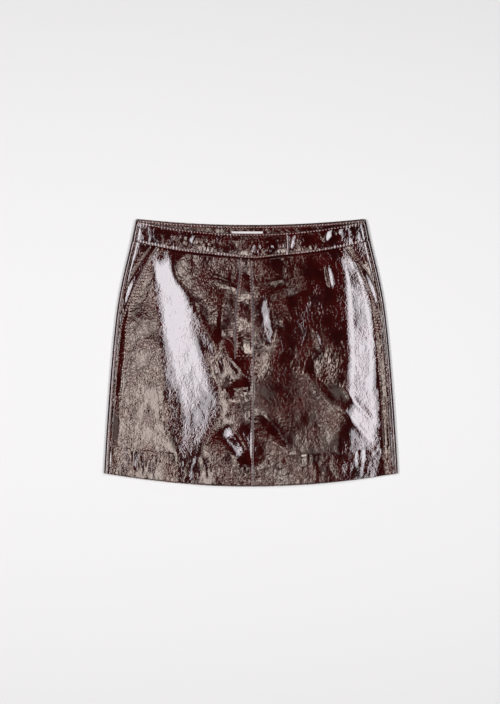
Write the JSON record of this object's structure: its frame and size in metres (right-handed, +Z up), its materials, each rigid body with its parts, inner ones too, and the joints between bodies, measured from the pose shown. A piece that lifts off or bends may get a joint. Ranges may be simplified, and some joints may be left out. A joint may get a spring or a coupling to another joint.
{
  "type": "leather skirt",
  "caption": "Short A-line leather skirt laid flat, with a lapped waistband tab, press stud, topstitched fly and slanted pockets, open at waist and hem.",
  "frame": {"origin": "on the surface that the skirt lies on, under the middle of its box", "axes": "+X across the skirt to the viewer's right, +Y from hem to waist, +Z up out of the surface"},
  "size_m": [0.47, 0.4279, 0.0177],
  "materials": {
    "leather": "crinkled patent, glossy",
    "label": "woven satin ribbon",
    "stud": "gloss enamel"
  },
  "bodies": {
    "root": {"front_left": "leather", "front_right": "leather", "fly_shield": "leather", "pocket_facing_left": "leather", "pocket_facing_right": "leather", "back_panel": "leather", "waistband_front_left": "leather", "waistband_front_right": "leather", "waistband_back": "leather", "waistband_facing": "leather", "waist_label": "label", "stud_cap": "stud"}
  },
  "joints": []
}
